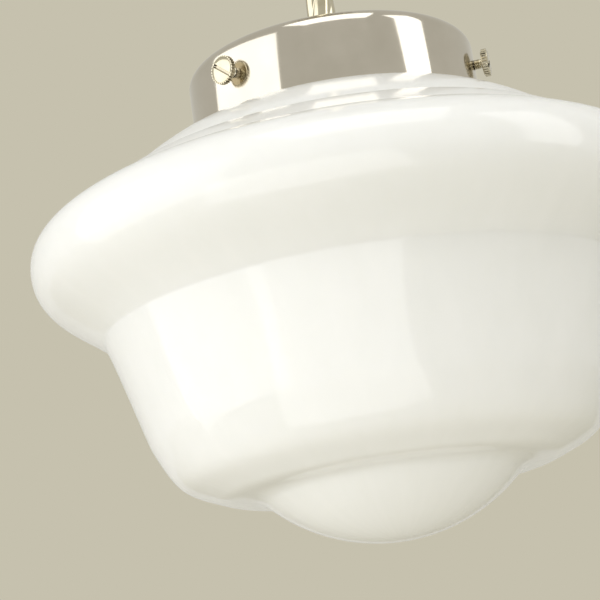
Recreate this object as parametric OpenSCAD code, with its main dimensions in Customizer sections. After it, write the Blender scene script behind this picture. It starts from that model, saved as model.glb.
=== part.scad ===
// Schoolhouse pendant light: opal glass shade in a nickel gallery on a rope-twist stem.
// Origin: middle of the ceiling strap's upper face. +Z points up into the ceiling.

/* [Ceiling strap] */
// Thickness of the flat strap
strap_t = 2; // [1.5:0.1:2.5]
// Width of the strap
strap_w = 24; // [20:1:28]
// Distance between the two slot centres
slot_pitch = 88; // [84:1:92]
// Length of each slot, end to end
slot_l = 12; // [8:0.5:14]
// Width of each slot
slot_w = 5.2; // [4:0.1:6]
// Height of the bent ears below the ceiling
ear_h = 17; // [14:0.5:20]

/* [Canopy] */
// Outside diameter of the canopy
canopy_d = 120; // [112:1:130]
// Height of the canopy
canopy_h = 30; // [28:1:36]
// Sheet thickness of the canopy
canopy_wall = 1.2; // [0.8:0.1:2]
// Outer radius of the canopy's rounded edge
canopy_round = 9; // [6:0.5:12]
// Height of the turned collar under the canopy
collar_h = 5; // [4:0.5:8]
// Diameter of the turned collar
collar_d = 28; // [26:1:36]

/* [Supply terminals] */
// Length of the terminal block along its sleeves
block_l = 20; // [18:1:24]
// Height of the terminal block
block_h = 12; // [10:0.5:13]
// Distance between neighbouring sleeves
sleeve_pitch = 7.4; // [7.2:0.1:8]
// Outside diameter of a brass sleeve
sleeve_d = 4.4; // [4.2:0.1:4.6]
// Bore of a brass sleeve
sleeve_bore = 3.2; // [2.6:0.1:3.6]
// Web left between the two halves of a sleeve
sleeve_web = 1; // [0.6:0.1:2]

/* [Hollow threads] */
// Outside diameter of the hollow M10 thread
thread_d = 10; // [9:0.5:11]
// Bore of the hollow thread, the stem and the swivel
wire_bore = 6.4; // [6:0.1:6.8]
// Height of an M10 nut
nut_h = 4; // [3:0.5:5]
// Width of an M10 nut across its flats
nut_af = 14; // [13:0.5:16]
// Thickness of a plain washer
washer_t = 1; // [0.6:0.1:1.5]

/* [Swivel] */
// Outside diameter of the swivel fork
fork_d = 26; // [24:0.5:30]
// Thickness of the fork's top plate
fork_plate = 4; // [3:0.5:6]
// Width of the gap between the fork's ears
fork_gap = 17.4; // [16.4:0.2:18]
// Radius of the tongue about the tilt axis
tongue_r = 8; // [7:0.5:8.5]
// Diameter of the pivot screws' shanks
pivot_d = 5; // [4:0.5:6]
// Length of the tongue below the tilt axis
tongue_drop = 12; // [11:0.5:16]
// How far the stem may tilt to each side
tilt_max = 45; // [30:1:50]

/* [Stem] */
// Length of the twisted part of the stem
stem_l = 190; // [120:5:400]
// Diameter of the stem over its lobes
stem_d = 11; // [10:0.5:13]
// Radius of one lobe of the rope twist
lobe_r = 3.6; // [3:0.1:4.2]
// Length of one full turn of the twist
twist_pitch = 90; // [60:1:140]
// Diameter of the plain ends of the stem
stem_end_d = 9.2; // [8.8:0.1:9.4]
// Length of each plain end
stem_end_l = 9; // [6:0.5:12]
// Diameter of the upper ferrule
ferrule_d = 15.6; // [14:0.2:16]
// Height of the lower collar
foot_h = 16; // [12:1:18]
// Diameter of the lower collar where it meets the gallery
foot_d = 22; // [18:1:30]

/* [Gallery] */
// Outside diameter of the gallery
gallery_d = 108; // [106:0.5:110]
// Height of the gallery
gallery_h = 27; // [26:0.5:28]
// Sheet thickness of the gallery
gallery_wall = 1.2; // [1:0.1:1.4]
// Outer radius of the gallery's rounded edge
gallery_round = 5; // [4:0.5:6]
// Depth of the thumbscrews below the top of the gallery
screw_drop = 13; // [12:0.5:14]

/* [Thumbscrews] */
// Diameter of the thumbscrew thread
screw_d = 4; // [3:0.5:4]
// Pitch of the thumbscrew thread
screw_pitch = 0.7; // [0.5:0.05:1]
// Gap between the gallery wall and the screw head
screw_standoff = 3.3; // [3:0.1:9]
// Diameter of the knurled head
head_d = 10.6; // [8:0.2:13]
// Thickness of the knurled head
head_t = 2.6; // [2:0.1:4]
// Width of the screwdriver slot
head_slot_w = 1.4; // [0.8:0.1:1.8]
// Number of knurls round the head
knurls = 30; // [20:1:40]
// Diameter of the soft tip
pad_d = 3.6; // [2.8:0.1:3.7]

/* [Glass shade] */
// Widest diameter of the shade, over the rim
shade_d = 241; // [220:1:260]
// Thickness of the glass
glass_t = 3; // [2:0.1:4]
// Outside diameter of the neck
neck_d = 93; // [88:0.5:95]
// Diameter of the lip on the neck
lip_d = 99; // [97:0.5:102]
// Height of the lip
lip_h = 5; // [4:0.2:6]
// Diameter of the first ring step
ring1_d = 179.4; // [172:0.2:184]
// Depth of the first ring step below the shoulder
ring1_drop = 17.2; // [15:0.1:19]
// Diameter of the second ring step
ring2_d = 211; // [204:0.2:216]
// Depth of the second ring step below the shoulder
ring2_drop = 25.9; // [24:0.1:28]
// Depth of the widest line below the shoulder
rim_drop = 42.8; // [40:0.2:46]
// Diameter where the rim's underside ends in the waist
waist_d = 197.6; // [190:0.2:202]
// Depth of the waist below the shoulder
waist_drop = 68.5; // [66:0.5:71]
// Diameter where the bowl's lower corner starts
bowl_d = 169.4; // [164:0.2:174]
// Depth of the lower corner's start below the shoulder
bowl_drop = 110.5; // [106:0.5:114]
// Diameter where the lower corner ends in the bottom
base_d = 127.4; // [122:0.2:134]
// Depth of the bottom at that place
base_drop = 131.4; // [128:0.2:134]
// Diameter where the centre dome springs from its fold
dome_d = 92.4; // [88:0.2:98]
// Depth of that place below the shoulder
dome_drop = 135.9; // [134.6:0.1:138]
// Height of the centre dome below that place
dome_h = 18.9; // [14:0.1:23]

/* [Lampholder] */
// Outside diameter of the lampholder
holder_d = 39; // [38:0.5:42]
// Length of the lampholder below its cap
holder_skirt = 42; // [40:1:46]
// Wall of the lampholder's skirt
holder_wall = 2; // [1.8:0.1:2.2]
// Inside diameter of the brass lamp thread
lamp_bore = 26.7; // [26.6:0.05:27]

/* [Bulb] */
// Diameter of the bulb's glass
bulb_d = 55; // [45:1:56]
// Overall length of the bulb
bulb_l = 95; // [90:1:98]
// Outside diameter of the bulb's thread
bulb_thread_d = 26.3; // [26:0.05:26.4]

/* [Flex] */
// Diameter of the flex sheath
flex_d = 5.6; // [5:0.1:5.7]
// Diameter of one insulated core
core_d = 2; // [1.6:0.1:2.2]

/* [Hidden] */

// Colours
nickel = "#b9b0a2";
steel = "#9fa2a5";
brass = "#c2a14d";
opal = "#f2f4f1";
porcelain = "#e9e6dc";
nylon = "#d9d4c4";

// Clearances
fit = 0.05;      // between a thread or shaft and its hole
turn = 0.2;      // between faces that slide or turn on each other
soft = 0.3;      // between the glass or a soft tip and what is near it
overrun = 1;     // how far a cutter runs past a face

// Curve steps
fine = 96;
small = 32;
arc_steps = 10;
short_steps = 4;
curve_steps = 8;
long_steps = 12;

// Canopy and strap
canopy_r = canopy_d / 2;
canopy_in_r = canopy_r - canopy_wall;
ear_x = sqrt(pow(canopy_in_r, 2) - pow(strap_w / 2, 2)) - soft;
side_screw_z = -ear_h + 5;
side_screw_r = 2;
side_head_r = 4;
side_head_t = 3;
side_screw_in = 6;
sheet_punch = 4;
drive_slot_w = 1;
drive_slot_depth = 1;
washer_head_r = 4.4;
round_head_r = 3.6;
round_head_t = 2.4;
earth_x = 24;
block_screw_r = 1;
block_head_r = 2.4;
block_head_t = 1.6;
thread_r = thread_d / 2;
wire_r = wire_bore / 2;
nut_r = nut_af / 2 / cos(30);
washer_r = 9;
collar_round = 1.5;

// Heights from the ceiling down to the tilt axis
collar_z = -canopy_h - collar_h;
fork_top = collar_z - turn;
fork_under = fork_top - fork_plate;
swivel_washer_top = fork_under - turn;
swivel_nut_top = swivel_washer_top - washer_t;
nipple_end = swivel_nut_top - nut_h - 1;
nipple_rise = 3;
nipple_top = -canopy_h + canopy_wall + washer_t + nut_h + nipple_rise;
pivot_z = nipple_end - 1.1 - tongue_r;
fork_room = pivot_z + tongue_r + 0.8;
tongue_half = fork_gap / 2 - turn;
ear_round = tongue_r + 0.5;
spot_x = fork_d / 2 - 1.5;
pivot_tip_x = 4.6;
nut_shelf = 0.6;
nut_gap = 0.8;
spot_gap = 0.4;
pivot_head_r = 4.2;
pivot_head_t = 2.4;
tongue_h = 4;
tilt_spare = 5;
flare_r = flex_d / 2 + 0.9;
throat = flex_d / 2 + 0.4;

// Tongue, ferrule, stem and collar
tongue_end = pivot_z - tongue_drop;
tongue_body_r = 7.4;
stud_l = 6.8;
ferrule_h = stud_l + 0.2 + stem_end_l;
stem_top = tongue_end - ferrule_h;
stem_foot = stem_top - stem_l;
gallery_z = stem_foot - foot_h;
stem_r = stem_d / 2;
stem_end_r = stem_end_d / 2;
ferrule_lap = 0.6;
ferrule_flare = 2.4;
ferrule_edge = 1;
foot_rim_h = 2.5;
foot_edge = 0.5;
foot_step = [1.2, 0.7];
foot_dirs = [150, 92];
foot_pulls = [4, 5];
foot_bead = 1.5;
lobe_out = stem_r - lobe_r;
twist_total = 360 * stem_l / twist_pitch;
twist_steps = ceil(twist_total / 12);
lobe_count = 4;
lobe_steps = 7;
// Angle of the first lobe at the foot of the stem
lobe_start = 86;

// Gallery
gallery_r = gallery_d / 2;
gallery_in_r = gallery_r - gallery_wall;
gallery_under = gallery_z - gallery_wall;
boss_r = 3.6;
boss_reach = 2.2;
boss_in = gallery_in_r - boss_reach;
screw_z = gallery_z - screw_drop;
screw_r = screw_d / 2 - fit;
screw_hole_r = screw_d / 2 + fit;
screw_angles = [0, 120, 240];
nut_top = gallery_under - washer_t;
nut_under = nut_top - nut_h;
foot_nipple_up = 7;
foot_nipple_tail = 8.5;
foot_nipple_end = nut_under - foot_nipple_tail;
cap_roof_gap = 0.5;
cap_roof = foot_nipple_end - cap_roof_gap;

// Thumbscrews
neck_r = neck_d / 2;
pad_in = neck_r + soft;
pad_l = 2.8;
pad_r = pad_d / 2;
dog_r = 1;
dog_recess = 1;
dog_in = pad_in + dog_recess;
shaft_in = pad_in + pad_l + fit;
head_in = gallery_r + screw_standoff;
thread_depth = 0.25;
shaft_plain = 1.4;
knurl_r = 0.42;
knurl_out = 0.15;
head_slot_depth = 1.1;
slot_turns = [35, 70, 140];
head_chamfer = 0.5;

// Shade outline, measured from the shoulder just under the gallery
shoulder_gap = 1;
shoulder_z = gallery_z - gallery_h - shoulder_gap;
lip_r = lip_d / 2;
lip_z = screw_z + pad_r + soft;
shade_top = lip_z + lip_h;
neck_in_r = neck_r - glass_t;
shoulder_turn = 5.5;
lip_round = 1.4;
dome_steps = 12;
shoulder = [neck_r + shoulder_turn, 0];
ring1 = [ring1_d / 2, -ring1_drop];
ring2 = [ring2_d / 2, -ring2_drop];
rim = [shade_d / 2, -rim_drop];
waist_in = [waist_d / 2, -waist_drop];
waist_step = [2.6, 4.2];
waist_out = waist_in - waist_step;
bowl = [bowl_d / 2, -bowl_drop];
base = [base_d / 2, -base_drop];
dome_edge = [dome_d / 2, -dome_drop];
dome_ball = (pow(dome_d / 2, 2) + pow(dome_h, 2)) / (2 * dome_h);
dome_sweep = asin(dome_d / 2 / dome_ball);
dome_mid = -dome_drop - dome_h + dome_ball;
// Direction in which the outline runs at each named point, and the pull of each curve at its two ends
shoulder_dir = 4;
ring1_dir = -37;
band_dirs = [-27, -31];
ring2_dir = -21.5;
rim_dir = -90;
waist_dirs = [222, 248.5];
bowl_dir = 245.5;
base_dir = 203;
dome_edge_dir = 180 + dome_sweep;
shoulder_pulls = [8.3, 28.9];
band_pulls = [6, 6];
rim_top_pulls = [9.9, 8.7];
rim_low_pulls = [12.8, 13.2];
waist_pulls = [3, 3];
bowl_pulls = [7.2, 2.9];
corner_pulls = [18.1, 13.5];
base_pulls = [7, 6];

// Lampholder, measured down from the gallery
holder_r = holder_d / 2;
cap_gap = 1;
cap_top = nut_under - cap_gap;
cap_neck_r = 8.5;
cap_neck_h = 3;
cap_dirs = [-20, -90];
cap_pulls = [6, 4];
cap_round_h = 10;
cap_skirt_h = 10;
cap_shoulder = cap_top - cap_round_h;
cap_under = cap_shoulder - cap_skirt_h;
spigot_gap = 0.3;
spigot_wall = 1.8;
spigot_l = 8;
spigot_r = holder_r - holder_wall - spigot_gap;
spigot_in = spigot_r - spigot_wall;
spigot_end = cap_under - spigot_l;
grip_t = 3;
holder_earth_y = 10.5;
holder_earth_r = 1.2;
holder_earth_in = 2;
holder_earth_head_r = 2.6;
holder_earth_head_t = 1.4;
holder_earth_seat = cap_roof - grip_t - core_d;
core_top = spigot_end - fit;
core_flange_t = 4;
core_raise = 3;
core_raise_in = 1.2;
core_raise_r = spigot_in - core_raise_in;
core_under = core_top - core_flange_t;
core_boss_r = 13;
core_boss_h = 6;
core_end = core_under - core_boss_h;
ledge_w = 1.6;
ledge_r = core_boss_r + ledge_w;
ledge_h = 2;
ledge_taper = 0.4;
shell_edge = 1;
shell_end = cap_under - holder_skirt;
lamp_r = lamp_bore / 2;
lamp_wall = 0.6;
lamp_flange = 0.6;
lamp_flange_w = 4;
lamp_swell = 0.35;
lamp_recess = 2;
lamp_end = shell_end + lamp_recess;
terminal_places = [-10.4, 7.4];
rivet_places = [-11, 6.2];
terminal_w = 5;
terminal_h = 5;
terminal_bed = core_top + core_raise;
terminal_up = terminal_bed + terminal_h;
terminal_screw_r = 2.1;
terminal_screw_t = 1.6;
terminal_slot = 0.7;
rivet_r = 1.2;
rivet_x = rivet_places[1];
contact_w = 5;
contact_t = 0.6;
contact_drop = 4.6;
contact_pad = 2;
contact_root = 1.4;

// Bulb, measured down from the centre contact
bulb_top = core_end - contact_drop - contact_t - soft;
bulb_thread_r = bulb_thread_d / 2;
tip_h = 1.6;
tip_r = 4.6;
cone_h = 4.2;
cone_edge = [2.4, 1.4];
cap_h = 19;
cap_z = bulb_top - tip_h - cone_h;
lamp_pitch = 3.63;
bulb_neck_r = 12.6;
bulb_ridge_depth = 1;
bulb_waves = 4;
bulb_cap_lead = 2;
bulb_cap_roof = 3;
bulb_cap_lap = 0.3;
bulb_cap_taper = 0.8;
bulb_pulls = [8, 10];
bulb_angle_from = 35;
bulb_angle_to = -80;
bulb_round_steps = 12;
bulb_r = bulb_d / 2;
bulb_wall = 1;
bulb_foot = bulb_top - bulb_l;

// Flex
flex_r = flex_d / 2;
core_r = core_d / 2;
strip_up_l = 2;
strip_low_l = 0.6;
strip_up = nipple_top + strip_up_l;
strip_low = cap_roof - grip_t - strip_low_l;
block_x = -24;
block_w = 2 * sleeve_pitch + sleeve_d + 4;
sleeve_z = -strap_t - block_h / 2;
block_face = block_x + block_l / 2;
clamp_r = 1.3;
clamp_sink = 1;
clamp_x = block_l / 4;
core_sides = 8;
core_seat = 1.3;
core_spread = 1.25;
core_back = 0.7;
earth_forward = 1.4;
core_rise = 7;
core_reach = 12;
core_slim = 0.8;
core_lead = 1;
core_sag = 2.4;
core_tuck = 1.8;
core_apart = [1.3, 0.6];
earth_tuck = [4, 0.8];

// Shared outline helpers
function dir(a) = [cos(a), sin(a)];
function mix(a, b, t) = a + (b - a) * t;
function curve(a, turn_a, len_a, b, turn_b, len_b, n, from = 1) =
    let (p = a + len_a * dir(turn_a), q = b - len_b * dir(turn_b))
    [for (i = [from:n])
        let (t = i / n, u = 1 - t)
        u * u * u * a + 3 * u * u * t * p + 3 * u * t * t * q + t * t * t * b];
function arc(mid, r, a0, a1, n) = [for (i = [0:n]) mid + r * dir(mix(a0, a1, i / n))];
function along(p, i) =
    let (a = p[max(i - 1, 0)], b = p[min(i + 1, len(p) - 1)], d = b - a) d / norm(d);
function inset(p, t) = [for (i = [0:len(p) - 1]) let (d = along(p, i)) p[i] + t * [d[1], -d[0]]];
function backwards(p) = [for (i = [len(p) - 1:-1:0]) p[i]];

// Rotates a child about Z onto each of the three thumbscrew places
module at_screw(k) rotate([0, 0, screw_angles[k]]) children();

module tube(r_out, r_in, z_top, z_low) {
    translate([0, 0, z_low]) difference() {
        cylinder(r = r_out, h = z_top - z_low, $fn = fine);
        translate([0, 0, -overrun]) cylinder(r = r_in, h = z_top - z_low + 2 * overrun, $fn = fine);
    }
}

module hex_nut(z_top) {
    translate([0, 0, z_top - nut_h]) difference() {
        cylinder(r = nut_r, h = nut_h, $fn = 6);
        translate([0, 0, -overrun]) cylinder(r = thread_r + fit, h = nut_h + 2 * overrun, $fn = small * 2);
    }
}

// A cylinder that lies along X, from x0 to x1
module rod_x(r, x0, x1) {
    translate([x0, 0, 0]) rotate([0, 90, 0]) cylinder(r = r, h = x1 - x0, $fn = small * 2);
}

// Cuts a screwdriver slot into a head of radius r whose face is at x
module drive_slot(x, r) {
    translate([x - drive_slot_depth, -r - overrun, -drive_slot_w / 2])
        cube([drive_slot_depth + overrun, 2 * (r + overrun), drive_slot_w]);
}

// A hollow spun cup with a rounded top or bottom edge; side is 1 for a closed top, -1 for a closed foot
function cup_outline(r, h, wall, edge, hole, side) =
    let (out = arc([r - edge, -edge], edge, 90, 0, arc_steps),
         ins = arc([r - edge, -edge], edge - wall, 0, 90, arc_steps))
    [for (p = concat([[hole, 0]], out, [[r, -h], [r - wall, -h]], ins, [[hole, -wall]]))
        [p[0], side * p[1]]];

module ceiling_strap() {
    color(steel) difference() {
        union() {
            translate([-ear_x, -strap_w / 2, -strap_t]) cube([2 * ear_x, strap_w, strap_t]);
            for (s = [-1, 1])
                translate([s * (ear_x - strap_t / 2) - strap_t / 2, -strap_w / 2, -ear_h])
                    cube([strap_t, strap_w, ear_h]);
        }
        for (s = [-1, 1]) {
            translate([s * slot_pitch / 2, 0, -strap_t - overrun]) slot_cutter();
            translate([0, 0, side_screw_z])
                rod_x(side_screw_r + fit, s * ear_x - sheet_punch, s * ear_x + sheet_punch);
        }
        translate([earth_x, 0, -strap_t - overrun])
            cylinder(r = side_screw_r + fit, h = strap_t + 2 * overrun, $fn = small);
        translate([block_x, sleeve_pitch / 2, -strap_t - overrun])
            cylinder(r = block_screw_r + fit, h = strap_t + 2 * overrun, $fn = small);
    }
}

module slot_cutter() {
    run = (slot_l - slot_w) / 2;
    for (s = [-1, 1])
        translate([s * run, 0, 0]) cylinder(r = slot_w / 2, h = strap_t + 2 * overrun, $fn = small);
    translate([-run, -slot_w / 2, 0]) cube([2 * run, slot_w, strap_t + 2 * overrun]);
}

module earth_screw() {
    color(brass) {
        translate([earth_x, 0, -strap_t - washer_t]) difference() {
            cylinder(r = washer_head_r, h = washer_t, $fn = small);
            translate([0, 0, -overrun])
                cylinder(r = side_screw_r + fit, h = washer_t + 2 * overrun, $fn = small);
        }
        translate([earth_x, 0, 0]) {
            translate([0, 0, -strap_t - washer_t - round_head_t])
                cylinder(r = round_head_r, h = round_head_t, $fn = small);
            translate([0, 0, -strap_t - washer_t])
                cylinder(r = side_screw_r, h = strap_t + washer_t - turn, $fn = small);
        }
    }
}

module terminal_block() {
    color(nylon) difference() {
        translate([block_x - block_l / 2, -block_w / 2, -strap_t - block_h])
            cube([block_l, block_w, block_h]);
        for (k = [-1:1]) {
            translate([0, k * sleeve_pitch, sleeve_z])
                rod_x(sleeve_d / 2 + fit, block_x - block_l / 2 - overrun, block_x + block_l / 2 + overrun);
            for (s = [-1, 1])
                translate([block_x + s * clamp_x, k * sleeve_pitch, -strap_t - block_h - overrun])
                    cylinder(r = clamp_r + 2 * fit, h = block_h / 2 + overrun, $fn = small);
        }
        translate([block_x, sleeve_pitch / 2, -strap_t - block_h - overrun])
            cylinder(r = block_screw_r + fit, h = block_h + 2 * overrun, $fn = small);
    }
}

module terminal_sleeves() {
    half = (block_l - sleeve_web) / 2;
    color(brass) for (k = [-1:1]) translate([block_x, k * sleeve_pitch, sleeve_z]) difference() {
        rod_x(sleeve_d / 2, -block_l / 2 + turn, block_l / 2 - turn);
        rod_x(sleeve_bore / 2, -block_l / 2, -sleeve_web / 2);
        rod_x(sleeve_bore / 2, sleeve_web / 2, block_l / 2);
        translate([clamp_x, 0, -sleeve_d]) cylinder(r = clamp_r + fit, h = sleeve_d, $fn = small);
    }
}

// Outer screws stop under the sleeve, so the supply bores are open; inner ones press on the cores
module terminal_screws() {
    foot = -strap_t - block_h + clamp_sink;
    color(steel) for (k = [-1:1]) {
        translate([block_x - clamp_x, k * sleeve_pitch, foot])
            cylinder(r = clamp_r, h = sleeve_z - sleeve_d / 2 - foot - fit, $fn = small);
        translate([block_x + clamp_x, k * sleeve_pitch, foot])
            cylinder(r = clamp_r, h = sleeve_z - core_r - foot - fit, $fn = small);
    }
}

module block_screw() {
    color(steel) translate([block_x, sleeve_pitch / 2, 0]) {
        translate([0, 0, -strap_t - block_h])
            cylinder(r = block_screw_r, h = strap_t + block_h - turn, $fn = small);
        translate([0, 0, -strap_t - block_h - block_head_t])
            cylinder(r = block_head_r, h = block_head_t, $fn = small);
    }
}

module canopy() {
    color(nickel) difference() {
        translate([0, 0, -canopy_h]) rotate_extrude($fn = fine)
            polygon(cup_outline(canopy_r, canopy_h, canopy_wall, canopy_round, thread_r + fit, -1));
        for (s = [-1, 1])
            translate([0, 0, side_screw_z])
                rod_x(side_screw_r + fit, s * canopy_r - sheet_punch, s * canopy_r + sheet_punch);
    }
}

module canopy_screws() {
    color(nickel) for (s = [0, 180]) rotate([0, 0, s]) translate([0, 0, side_screw_z]) difference() {
        union() {
            rod_x(side_screw_r, canopy_r - side_screw_in, canopy_r);
            rod_x(side_head_r, canopy_r + fit, canopy_r + side_head_t);
            rod_x(side_screw_r, canopy_r, canopy_r + fit);
        }
        drive_slot(canopy_r + side_head_t, side_head_r);
    }
}

module canopy_collar() {
    r = collar_d / 2;
    color(nickel) translate([0, 0, collar_z]) rotate_extrude($fn = fine) polygon(concat(
        [[thread_r + fit, collar_h], [r, collar_h]],
        arc([r - collar_round, collar_round], collar_round, 0, -90, short_steps),
        [[thread_r + fit, 0]]));
}

module top_nipple() color(brass) tube(thread_r, wire_r, nipple_top, nipple_end);

module nipple_washer()
    color(steel) tube(washer_r, thread_r + fit, -canopy_h + canopy_wall + washer_t, -canopy_h + canopy_wall);

module nipple_nut() color(brass) hex_nut(-canopy_h + canopy_wall + washer_t + nut_h);

module swivel_washer()
    color(brass)
        tube(nut_af / 2 + nut_shelf, thread_r + fit, swivel_washer_top, swivel_washer_top - washer_t);

module swivel_nut() color(brass) hex_nut(swivel_nut_top);

module swivel_fork() {
    nut_room = nut_r + nut_gap;
    color(nickel) difference() {
        union() {
            translate([0, 0, pivot_z]) cylinder(r = fork_d / 2, h = fork_top - pivot_z, $fn = fine);
            intersection() {
                translate([0, 0, pivot_z - ear_round]) cylinder(r = fork_d / 2, h = ear_round, $fn = fine);
                translate([0, 0, pivot_z]) rod_x(ear_round, -fork_d, fork_d);
            }
        }
        translate([0, 0, fork_under - overrun])
            cylinder(r = thread_r + 2 * fit, h = fork_plate + 2 * overrun, $fn = fine);
        translate([0, 0, fork_room - overrun])
            cylinder(r = nut_room, h = fork_under - fork_room + overrun, $fn = fine);
        translate([-fork_gap / 2, -fork_d, pivot_z - fork_d])
            cube([fork_gap, 2 * fork_d, fork_d + fork_room - pivot_z]);
        translate([0, 0, pivot_z]) {
            rod_x(pivot_d / 2 + fit, -fork_d, fork_d);
            for (s = [0, 180]) rotate([0, 0, s]) rod_x(pivot_head_r + spot_gap, spot_x, fork_d);
        }
    }
}

module pivot_screws() {
    color(steel) for (s = [0, 180]) rotate([0, 0, s]) translate([0, 0, pivot_z]) difference() {
        union() {
            rod_x(pivot_d / 2, pivot_tip_x, spot_x);
            rod_x(pivot_head_r, spot_x, spot_x + pivot_head_t);
        }
        drive_slot(spot_x + pivot_head_t, pivot_head_r);
    }
}

module swivel_tongue() {
    reach = tongue_r + tongue_h;
    hang = tilt_max + tilt_spare;
    edge = throat * [cos(hang), -sin(hang)];
    far = edge + reach * [sin(hang), cos(hang)];
    color(nickel) difference() {
        union() {
            translate([0, 0, pivot_z]) rod_x(tongue_r, -tongue_half, tongue_half);
            translate([0, 0, tongue_end]) cylinder(r = tongue_body_r, h = tongue_drop, $fn = fine);
            translate([0, 0, tongue_end - stud_l]) cylinder(r = thread_r, h = stud_l + overrun, $fn = fine);
        }
        translate([0, 0, tongue_end - stud_l - overrun])
            cylinder(r = wire_r, h = tongue_drop + stud_l + overrun, $fn = fine);
        translate([0, 0, pivot_z]) {
            rod_x(flare_r, -flare_r, flare_r);
            rod_x(pivot_d / 2 + fit, -tongue_half - overrun, tongue_half + overrun);
            rotate([90, 0, 90]) translate([0, 0, -flare_r]) linear_extrude(2 * flare_r)
                polygon([[0, 0], edge, far, [0, reach], [-far[0], far[1]], [-edge[0], edge[1]]]);
        }
    }
}

module top_ferrule() {
    r = ferrule_d / 2;
    color(nickel) translate([0, 0, stem_top]) difference() {
        rotate_extrude($fn = fine) polygon([
            [0, 0], [stem_r + ferrule_lap, 0], [r, ferrule_flare], [r, ferrule_h - ferrule_edge],
            [r - ferrule_edge, ferrule_h], [0, ferrule_h]]);
        translate([0, 0, stem_end_l]) cylinder(r = thread_r + fit, h = ferrule_h, $fn = fine);
        translate([0, 0, -overrun]) cylinder(r = stem_end_r + fit, h = ferrule_h, $fn = fine);
    }
}

// One lobe's share of the rope section: the arc of its circle between the two grooves
module rope_section() {
    half_share = 180 / lobe_count;
    groove = acos(lobe_out * sin(half_share) / lobe_r);
    half_sweep = 180 - half_share - groove;
    polygon([for (k = [0:lobe_count - 1], i = [0:lobe_steps - 1])
        let (a = k * 360 / lobe_count, b = a + mix(-half_sweep, half_sweep, i / lobe_steps))
        lobe_out * dir(a) + lobe_r * dir(b)]);
}

module stem() {
    color(nickel) difference() {
        union() {
            translate([0, 0, stem_foot]) rotate([0, 0, lobe_start])
                linear_extrude(height = stem_l, twist = -twist_total, slices = twist_steps) rope_section();
            for (z = [stem_top - fit, stem_foot - stem_end_l + fit])
                translate([0, 0, z]) cylinder(r = stem_end_r, h = stem_end_l, $fn = fine);
        }
        translate([0, 0, stem_foot - stem_end_l - overrun])
            cylinder(r = wire_r, h = stem_l + 2 * (stem_end_l + overrun), $fn = fine);
    }
}

module stem_collar() {
    r = foot_d / 2;
    top = stem_r + foot_step[1];
    color(nickel) translate([0, 0, gallery_z]) difference() {
        rotate_extrude($fn = fine) polygon(concat(
            [[0, 0], [r - foot_edge, 0], [r, foot_edge], [r, foot_rim_h]],
            curve([r, foot_rim_h] + [-foot_step[0], foot_step[1]], foot_dirs[0], foot_pulls[0],
                  [top, foot_h - foot_bead], foot_dirs[1], foot_pulls[1], curve_steps, 0),
            [[top, foot_h - foot_edge], [top - foot_edge, foot_h], [0, foot_h]]));
        translate([0, 0, -overrun]) cylinder(r = thread_r + fit, h = foot_nipple_up + overrun, $fn = fine);
        cylinder(r = stem_end_r + fit, h = foot_h + overrun, $fn = fine);
    }
}

module lower_nipple() color(brass) tube(thread_r, wire_r, gallery_z + foot_nipple_up - turn, foot_nipple_end);

module gallery() {
    color(nickel) difference() {
        union() {
            translate([0, 0, gallery_z]) rotate_extrude($fn = fine)
                polygon(cup_outline(gallery_r, gallery_h, gallery_wall, gallery_round, thread_r + fit, 1));
            for (k = [0:2]) at_screw(k) translate([0, 0, screw_z])
                rod_x(boss_r, boss_in, gallery_r - gallery_wall / 2);
        }
        for (k = [0:2]) at_screw(k) translate([0, 0, screw_z])
            rod_x(screw_hole_r, boss_in - overrun, gallery_r + overrun);
    }
}

module gallery_washer() color(steel) tube(washer_r, thread_r + fit, gallery_under, gallery_under - washer_t);

module gallery_nut() color(brass) hex_nut(nut_top);

module lampholder_cap() {
    color(brass) difference() {
        rotate_extrude($fn = fine) polygon(concat(
            [[0, cap_top], [cap_neck_r, cap_top], [cap_neck_r, cap_top - cap_neck_h]],
            curve([cap_neck_r, cap_top - cap_neck_h], cap_dirs[0], cap_pulls[0],
                  [holder_r, cap_shoulder], cap_dirs[1], cap_pulls[1], curve_steps),
            [[holder_r, cap_under], [spigot_r, cap_under], [spigot_r, spigot_end], [0, spigot_end]]));
        translate([0, 0, cap_roof - overrun])
            cylinder(r = thread_r + fit, h = cap_top - cap_roof + 2 * overrun, $fn = fine);
        translate([0, 0, spigot_end - overrun])
            cylinder(r = spigot_in, h = cap_roof - spigot_end + overrun, $fn = fine);
        translate([0, -holder_earth_y, cap_roof - overrun])
            cylinder(r = holder_earth_r + fit, h = holder_earth_in + overrun, $fn = small);
    }
}

module cord_grip() {
    color(nylon) difference() {
        tube(spigot_in - turn, flex_r + fit, cap_roof, cap_roof - grip_t);
        translate([0, -holder_earth_y, cap_roof - grip_t - overrun])
            cylinder(r = holder_earth_r + fit, h = grip_t + 2 * overrun, $fn = small);
    }
}

// It goes through the cord grip into the cap and takes the earth core under its head
module holder_earth_screw() {
    color(brass) translate([0, -holder_earth_y, 0]) {
        translate([0, 0, holder_earth_seat])
            cylinder(r = holder_earth_r, h = cap_roof + holder_earth_in - holder_earth_seat, $fn = small);
        translate([0, 0, holder_earth_seat - holder_earth_head_t])
            cylinder(r = holder_earth_head_r, h = holder_earth_head_t, $fn = small);
    }
}

module lampholder_core() {
    color(porcelain) difference() {
        union() {
            translate([0, 0, core_under]) cylinder(r = spigot_r, h = core_flange_t, $fn = fine);
            translate([0, 0, core_top]) cylinder(r = core_raise_r, h = core_raise, $fn = fine);
            translate([0, 0, core_end]) cylinder(r = core_boss_r, h = core_under - core_end, $fn = fine);
        }
        for (x = rivet_places) translate([x, 0, core_end - overrun])
            cylinder(r = rivet_r + fit, h = terminal_bed - core_end + 2 * overrun, $fn = small);
    }
}

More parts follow.
